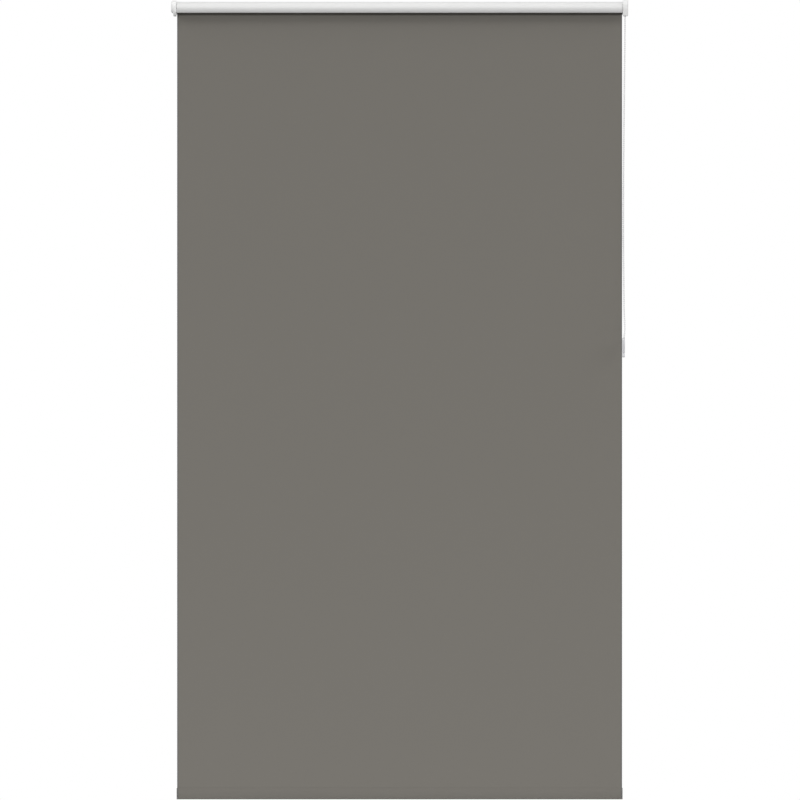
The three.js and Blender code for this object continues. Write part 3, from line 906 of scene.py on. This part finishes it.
class BLIND_OT_end_caps(bpy.types.Operator):
    """Moulds the two end caps, with the chain's slot under the right one"""

    bl_idname = "blind.end_caps"
    bl_label = "End caps"

    def execute(self, context):
        for side in CAPS:
            self.cap(side)
        for side in ("left", "right"):
            dress(f"{side}_cap_plate", 0.2)
            for level in ("upper", "lower"):
                dress(f"{side}_cap_screw_{level}", 0.1)
        return {"FINISHED"}

    def cap(self, side):
        cap = CAPS[side]
        parts = ((body_outline, CAP_OUTER, cap["edge"]), (foot_outline, cap["foot_outer"], FOOT_EDGE))
        body, foot = [cap_part(cap, outline, CAP_INNER, end, edge) for outline, end, edge in parts]
        node = f"{side}_end_cap"
        piece = make(f"{side}_cap", *body, "root", "white_plastic", (node,))
        carve(piece, foot, operation="UNION")
        rooms = []
        for outline, end, edge in parts:
            inner_edge = max(edge - CAP_WALL, 0.5)
            rooms.append(cap_part(cap, outline, CAP_INNER - 1, end - CAP_WALL, inner_edge, CAP_WALL))
        carve(piece, *rooms)
        if side == "right":
            half = settings().bead_diameter / MM / 2 + SLOT_SPARE
            low = (WHEEL_X - half, SLOT_FRONT, cap["low"][2] - 1)
            high = (WHEEL_X + half, SLOT_BACK, cap["low"][2] + SLOT_HEIGHT)
            carve(piece, block(low, high))


class BLIND_OT_head_rail(bpy.types.Operator):
    """Finishes the back rail and the wall clips"""

    bl_idname = "blind.head_rail"
    bl_label = "Head rail and clips"

    def execute(self, context):
        dress("back_rail", 0.25)
        for place in ("left", "middle", "right"):
            dress(f"wall_clip_{place}", 0.25)
        return {"FINISHED"}


# ------------------------------------------------------------------ roller and drive


def spiral_outline():
    """The section of the fabric's turns that stay on the tube."""
    turns = 2.2
    steps = 110
    thickness = settings().fabric_thickness / MM
    inner_radius = TUBE_RADIUS + 0.04
    growth = (ROLL_RADIUS - thickness - inner_radius) / turns
    outer = []
    inner = []
    for step in range(steps + 1):
        turn = turns * step / steps
        angle = 2 * math.pi * (turn - turns)
        radius = inner_radius + growth * turn
        inner.append((ROLLER_Y + radius * math.cos(angle), ROLLER_Z + radius * math.sin(angle)))
        radius += min(thickness, growth - 0.02)
        outer.append((ROLLER_Y + radius * math.cos(angle), ROLLER_Z + radius * math.sin(angle)))
    return [*outer, *reversed(inner)]


class BLIND_OT_roller(bpy.types.Operator):
    """Winds the last turns of fabric on the tube and finishes the tube and its plugs"""

    bl_idname = "blind.roller"
    bl_label = "Roller"

    def execute(self, context):
        outline = spiral_outline()
        low, high = ROLL_LOW[0], ROLL_HIGH[0]
        rings = [[(x, y, z) for y, z in outline] for x in (low, high)]
        make("wound_fabric", *loft(rings), "roller", "blackout_fabric", ("fabric_roll",))
        for node in ("roller_tube", "idle_plug", "drive_plug"):
            dress(node, 0.15)
        for node in ("idle_pin", "idle_spring", "idle_bearing"):
            dress(node)
        return {"FINISHED"}


class BLIND_OT_chain_drive(bpy.types.Operator):
    """Finishes the chain wheel, its hub and the wrap springs"""

    bl_idname = "blind.chain_drive"
    bl_label = "Chain drive"

    def execute(self, context):
        for node in ("chain_wheel", "clutch_hub"):
            dress(node, 0.15)
        for node in ("wrap_spring_inner", "wrap_spring_outer"):
            dress(node)
        return {"FINISHED"}


# ------------------------------------------------------------------ fabric and bottom rail


def sheet_lean(x, z):
    """How far the hanging fabric bows to the room, in millimetres: edges cup, faint waves.

    It never leans back, where the strip of the hem is welded on.
    """
    drop = -z / (SHEET_HIGH[2] - SHEET_LOW[2])
    hold = math.sin(math.pi * min(max(drop, 0.0), 1.0))
    edge = (abs(x) / SHEET_HIGH[0]) ** 6
    wave = 0.25 * math.sin(x / 190.0 + 1.1) * math.sin(z / 330.0 + 0.4) + 0.12 * math.sin(x / 71.0)
    return hold * (0.4 + 0.9 * edge + wave)


def sheet_solid(columns, rows):
    """The hanging fabric as a closed thin solid."""
    half = settings().fabric_thickness / MM / 2
    points = []
    for side in (-1, 1):
        for row in range(rows + 1):
            z = SHEET_HIGH[2] + (SHEET_LOW[2] - SHEET_HIGH[2]) * row / rows
            for column in range(columns + 1):
                x = SHEET_LOW[0] + (SHEET_HIGH[0] - SHEET_LOW[0]) * column / columns
                points.append((x, SHEET_Y - sheet_lean(x, z) + side * half, z))
    wide = columns + 1
    layer = wide * (rows + 1)
    faces = []
    for row in range(rows):
        for column in range(columns):
            a = row * wide + column
            faces.append((a, a + wide, a + wide + 1, a + 1))
            faces.append((a + layer, a + layer + 1, a + layer + wide + 1, a + layer + wide))
    for column in range(columns):
        bottom = rows * wide + column
        faces.append((column, column + 1, column + 1 + layer, column + layer))
        faces.append((bottom, bottom + layer, bottom + 1 + layer, bottom + 1))
    for row in range(rows):
        left = row * wide
        right = left + columns
        faces.append((left, left + layer, left + wide + layer, left + wide))
        faces.append((right, right + wide, right + wide + layer, right + layer))
    return points, faces


HEM_FRONT_DEPTH = 8.5
HEM_BACK_DEPTH = 3.6


def hem_outline(inset):
    """Section of the hem, as the frame has it: the front curves back under the bar."""
    lowest_y = HEM_LOW[1] + HEM_FRONT_DEPTH
    top_y = SHEET_Y + inset
    middle_z = middle(HEM_LOW, HEM_HIGH, 2)
    half_height = HEM_HIGH[2] - middle_z - inset
    back_reach = lowest_y + HEM_BACK_DEPTH - inset - top_y
    top = (lowest_y, HEM_HIGH[2] - inset)
    front = arc(top, HEM_FRONT_DEPTH - inset, 2 * half_height, 180, 270, 28)
    lower_back = arc((lowest_y, middle_z), HEM_BACK_DEPTH - inset, half_height, 270, 360, 14)
    upper_back = arc((top_y, middle_z), back_reach, half_height, 0, 90, 14)
    return [*front, *lower_back[1:], *upper_back[1:]]


class BLIND_OT_fabric(bpy.types.Operator):
    """Hangs the blackout fabric from the roller"""

    bl_idname = "blind.fabric"
    bl_label = "Fabric"

    def execute(self, context):
        panel = make("fabric_panel", *sheet_solid(64, 112), "root", "blackout_fabric", ("fabric_sheet",))
        drop = (SHEET_HIGH[2] - SHEET_LOW[2]) * MM
        anchor = (0.0, SHEET_Y * MM, SHEET_HIGH[2] * MM)
        1 - LIFT / drop
        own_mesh(panel)
        return {"FINISHED"}


class BLIND_OT_bottom_rail(bpy.types.Operator):
    """Makes the hem and the end caps of the bar inside it, and finishes the bar"""

    bl_idname = "blind.bottom_rail"
    bl_label = "Bottom rail"

    def execute(self, context):
        self.hem()
        dress("bottom_bar")
        for side in (-1, 1):
            self.cap(side)
        return {"FINISHED"}

    def hem(self):
        """The sleeve of fabric, and the strip behind the sheet where it is welded on."""
        thickness = settings().fabric_thickness / MM
        low, high = HEM_LOW[0], HEM_HIGH[0]
        stations = [(low, 0), (high, 0), (high, thickness), (low, thickness)]
        sleeve = ring_loft(rings_from(stations, hem_outline))
        weld_y = SHEET_Y + thickness
        weld_height = 9.0
        weld_top = HEM_HIGH[2] + weld_height
        path = [(weld_y, weld_top), (weld_y, HEM_HIGH[2] + 1), (weld_y + 0.3, HEM_HIGH[2] - 0.1)]
        strip = thicken(path, thickness, 3)
        weld = loft([[(x, y, z) for y, z in strip] for x in (low + 0.2, high - 0.2)])
        make("hem", *joined(sleeve, weld), "bottom_rail", "blackout_fabric", ("hem_pocket",))

    def cap(self, side):
        """A cap on the bar's end, its outer edge rounded over."""
        inner, outer = HEM_HIGH[0] + 0.15, BAR_CAP_HIGH[0]
        edge = 0.45
        stations = [(inner, 0.15), *rounded_stations(inner, outer, edge)]
        rings = rings_from([(side * x, inset) for x, inset in stations], hem_outline)
        name = "right" if side > 0 else "left"
        node = f"bottom_bar_cap_{name}"
        make(f"bar_cap_{name}", *loft(rings), "bottom_rail", "fabric_coloured_plastic", (node,))


# ------------------------------------------------------------------ chain weight


PIN_HOLE = 1.9
SCREW_HOLE = 1.4
SCREW_HEAD_HOLE = 2.3


def weight_outline(inset):
    """Side outline of the weight's case, as the frame has it, drawn smaller by inset."""
    low, high = SHELL_LOW, SHELL_HIGH
    half = (high[1] - low[1]) / 2 - inset
    bottom_half = 10.2 - inset
    corner = max(6.0 - inset, 0.4)
    foot_corner = max(2.0 - inset, 0.2)
    bottom = low[2] + inset
    top = high[2] - inset
    waist = PULLEY_Z - 8
    y = PULLEY_Y
    return [
        *arc((y + bottom_half - foot_corner, bottom + foot_corner), foot_corner, foot_corner, -90, -8, 5),
        (y + half, waist),
        *arc((y + half - corner, top - corner), corner, corner, 0, 90, 12),
        *arc((y - half + corner, top - corner), corner, corner, 90, 180, 12),
        (y - half, waist),
        *arc((y - bottom_half + foot_corner, bottom + foot_corner), foot_corner, foot_corner, 188, 270, 5),
    ]


def weight_foot_outline(inset):
    """Front outline of the foot under the groove, round at its lower corners."""
    half = (FOOT_HIGH[1] - FOOT_LOW[1]) / 2 - inset
    corner = max(4.0 - inset, 0.3)
    top_corner = max(0.8 - inset * 0.5, 0.2)
    bottom = FOOT_LOW[2] + inset
    top = FOOT_HIGH[2] - inset
    y = PULLEY_Y
    return [
        *arc((y + half - corner, bottom + corner), corner, corner, -90, 0, 8),
        *arc((y + half - top_corner, top - top_corner), top_corner, top_corner, 0, 90, 4),
        *arc((y - half + top_corner, top - top_corner), top_corner, top_corner, 90, 180, 4),
        *arc((y - half + corner, bottom + corner), corner, corner, 180, 270, 8),
    ]


class BLIND_OT_chain_weight(bpy.types.Operator):
    """Moulds the chain weight's two halves and its foot, and finishes what is inside"""

    bl_idname = "blind.chain_weight"
    bl_label = "Chain weight"

    def execute(self, context):
        for side in (-1, 1):
            self.half(side)
        self.foot()
        for node in ("weight_pulley", "weight_pin", "weight_screw"):
            dress(node, 0.1)
        dress("weight_slug", 0.3)
        return {"FINISHED"}

    def half(self, side):
        """One half of the case, hollow, with the two mouths, the pin's hole and the screw's hole."""
        wall = 1.2
        edge = 1.8
        lip = 0.12
        split = 0.15
        outer = SHELL_HIGH[0] - PULLEY_X
        steps = 8
        stations = [(outer - wall, wall), (split + lip, wall), (split, wall - lip)]
        stations += [(split, lip), (split + lip, 0)]
        for step in range(steps + 1):
            angle = math.pi / 2 * step / steps
            stations.append((outer - edge * (1 - math.sin(angle)), edge * (1 - math.cos(angle))))
        stations = [(PULLEY_X + side * x, inset) for x, inset in stations]
        name = "right" if side > 0 else "left"
        node = f"weight_shell_{name}"
        rings = rings_from(stations, weight_outline)
        piece = make(f"weight_case_{name}", *loft(rings), "chain_loop", "grey_plastic", (node,))
        mouth = settings().bead_diameter / MM / 2 + 0.7
        reach = outer + 1 if side > 0 else mouth
        mouth_depth = 9
        cutters = []
        for run in (-1, 1):
            y = PULLEY_Y + run * PULLEY_PITCH_RADIUS
            ends = sorted((PULLEY_X - side, PULLEY_X + side * reach))
            low = (ends[0], y - mouth, SHELL_HIGH[2] - mouth_depth)
            high = (ends[1], y + mouth, SHELL_HIGH[2] + 2)
            cutters.append(block(low, high))
        ends = sorted((PULLEY_X, PULLEY_X + side * (outer + 1)))
        cutters.append(rod(0, PIN_HOLE, *[(x, PULLEY_Y, PULLEY_Z) for x in ends]))
        screw = [(PULLEY_X, PULLEY_Y, SHELL_LOW[2] + z) for z in (-1.0, 3.0)]
        cutters.append(rod(2, SCREW_HOLE, *screw))
        carve(piece, *cutters)

    def foot(self):
        """The foot, rounded at both sides, with the screw's hole and the room for its head."""
        edge = 1.1
        half = (FOOT_HIGH[0] - FOOT_LOW[0]) / 2
        steps = 6
        stations = []
        for step in range(steps, -1, -1):
            angle = math.pi / 2 * step / steps
            stations.append((-half + edge * (1 - math.sin(angle)), edge * (1 - math.cos(angle))))
        for step in range(steps + 1):
            angle = math.pi / 2 * step / steps
            stations.append((half - edge * (1 - math.sin(angle)), edge * (1 - math.cos(angle))))
        rings = rings_from([(PULLEY_X + x, inset) for x, inset in stations], weight_foot_outline)
        piece = make("weight_base", *loft(rings), "chain_loop", "grey_plastic", ("weight_foot",))
        shank = [(PULLEY_X, PULLEY_Y, z) for z in (FOOT_LOW[2] - 1.0, FOOT_HIGH[2] + 1.0)]
        head = [(PULLEY_X, PULLEY_Y, z) for z in (FOOT_LOW[2] - 1.0, FOOT_LOW[2] + 3.0)]
        carve(piece, rod(2, SCREW_HOLE, *shank), rod(2, SCREW_HEAD_HOLE, *head))


# ------------------------------------------------------------------ stage


def pale_floor():
    """A pale matt floor with a faint cloud in it."""
    paint = Paint("pale_floor")
    cloud = paint.noise(paint.place(), 1.5, 2.0)
    shown = paint.between(cloud, (0.80, 0.80, 0.80), (0.86, 0.86, 0.86))
    return paint.finish(shown, 0.9)


def sun(name, elevation, azimuth, strength, width):
    """A soft distant light that shines from azimuth (0 is the room side) at an elevation."""
    light = bpy.data.lights.new(name, "SUN")
    light.energy = strength
    light.angle = math.radians(width)
    thing = bpy.data.objects.new(name, light)
    up, turn = math.radians(elevation), math.radians(azimuth)
    source = Vector((math.sin(turn) * math.cos(up), -math.cos(turn) * math.cos(up), math.sin(up)))
    thing.rotation_mode = "QUATERNION"
    thing.rotation_quaternion = source.to_track_quat("Z", "Y")
    bpy.context.scene.collection.objects.link(thing)


class BLIND_OT_studio(bpy.types.Operator):
    """Sets the floor, the soft light and the camera"""

    bl_idname = "blind.studio"
    bl_label = "Studio"

    def execute(self, context):
        self.floor()
        self.light()
        self.camera()
        context.scene.view_settings.view_transform = "Standard"
        return {"FINISHED"}

    def floor(self):
        """A pale floor well under the blind, which hangs on a wall."""
        below_blind = 2.0
        level = CAD_BOX[0][2] - below_blind
        half_width = 4.5
        front, back = -4.0, 2.6
        mesh = bpy.data.meshes.new("floor")
        corners = [
            (-half_width, front, level),
            (half_width, front, level),
            (half_width, back, level),
            (-half_width, back, level),
        ]
        mesh.from_pydata(corners, [], [(0, 1, 2, 3)])
        floor = bpy.data.objects.new("floor", mesh)
        floor.data.materials.append(pale_floor())
        bpy.context.scene.collection.objects.link(floor)

    def light(self):
        """White behind the blind, dim light from all round and more from above, and four suns."""
        world = bpy.data.worlds.new("studio")
        bpy.context.scene.world = world
        world.use_nodes = True
        tree = world.node_tree
        tree.nodes.clear()
        rays = tree.nodes.new("ShaderNodeLightPath")
        ambient = tree.nodes.new("ShaderNodeBackground")
        ambient.inputs["Color"].default_value = (1.0, 1.0, 1.0, 1.0)
        around = tree.nodes.new("ShaderNodeTexCoord")
        parts = tree.nodes.new("ShaderNodeSeparateXYZ")
        fade = tree.nodes.new("ShaderNodeMapRange")
        fade.inputs["From Min"].default_value = -1.0
        fade.inputs["To Min"].default_value = 0.10
        fade.inputs["To Max"].default_value = 0.45
        tree.links.new(around.outputs["Generated"], parts.inputs[0])
        tree.links.new(parts.outputs["Z"], fade.inputs["Value"])
        tree.links.new(fade.outputs[0], ambient.inputs["Strength"])
        backdrop = tree.nodes.new("ShaderNodeBackground")
        backdrop.inputs["Color"].default_value = (1.0, 1.0, 1.0, 1.0)
        choice = tree.nodes.new("ShaderNodeMixShader")
        output = tree.nodes.new("ShaderNodeOutputWorld")
        tree.links.new(rays.outputs["Is Camera Ray"], choice.inputs[0])
        tree.links.new(ambient.outputs[0], choice.inputs[1])
        tree.links.new(backdrop.outputs[0], choice.inputs[2])
        tree.links.new(choice.outputs[0], output.inputs[0])
        sun("front", elevation=15, azimuth=-10, strength=1.15, width=10)
        sun("key", elevation=49, azimuth=-10, strength=0.62, width=22)
        for side in (-1, 1):
            sun("side", elevation=25, azimuth=80 * side, strength=0.85, width=40)

    def camera(self):
        """A long lens square to the blind, its view 1.8 times the fabric's width."""
        camera = bpy.data.cameras.new("camera")
        distance = 60.0
        view_width = 2.2765
        camera.sensor_width = 36.0
        camera.lens = camera.sensor_width * (distance + SHEET_Y * MM) / view_width
        camera.clip_end = 200.0
        thing = bpy.data.objects.new("camera", camera)
        aim_x, aim_z = 0.0011, -1.1142
        thing.location = (aim_x, -distance, aim_z)
        thing.rotation_euler = (math.pi / 2, 0.0, 0.0)
        bpy.context.scene.collection.objects.link(thing)
        bpy.context.scene.camera = thing


# ------------------------------------------------------------------ panel and registration

OPERATORS = (
    BLIND_OT_studio,
    BLIND_OT_bead_chain,
    BLIND_OT_cover,
    BLIND_OT_end_caps,
    BLIND_OT_head_rail,
    BLIND_OT_roller,
    BLIND_OT_chain_drive,
    BLIND_OT_bottom_rail,
    BLIND_OT_fabric,
    BLIND_OT_chain_weight,
)


class BLIND_PT_panel(bpy.types.Panel):
    """Lists the blind's settings and the operators that build it"""

    bl_idname = "BLIND_PT_panel"
    bl_label = "Roller Blind"
    bl_space_type = "VIEW_3D"
    bl_region_type = "UI"
    bl_category = "Blind"

    def draw(self, context):
        for name in BlindSettings.__annotations__:
            self.layout.prop(context.scene.blind, name)
        for operator in OPERATORS:
            self.layout.operator(operator.bl_idname)


CLASSES = (BlindSettings, *OPERATORS, BLIND_PT_panel)


def register():
    for each in CLASSES:
        bpy.utils.register_class(each)
    bpy.types.Scene.blind = bpy.props.PointerProperty(type=BlindSettings)


def unregister():
    del bpy.types.Scene.blind
    for each in reversed(CLASSES):
        bpy.utils.unregister_class(each)


def main():
    """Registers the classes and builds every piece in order."""
    register()
    for operator in OPERATORS:
        group, name = operator.bl_idname.split(".")
        result = getattr(getattr(bpy.ops, group), name)()
        if result != {"FINISHED"}:
            raise RuntimeError(f"{operator.bl_label} did not finish")
    bpy.context.view_layer.update()


if __name__ == "__main__":
    main()
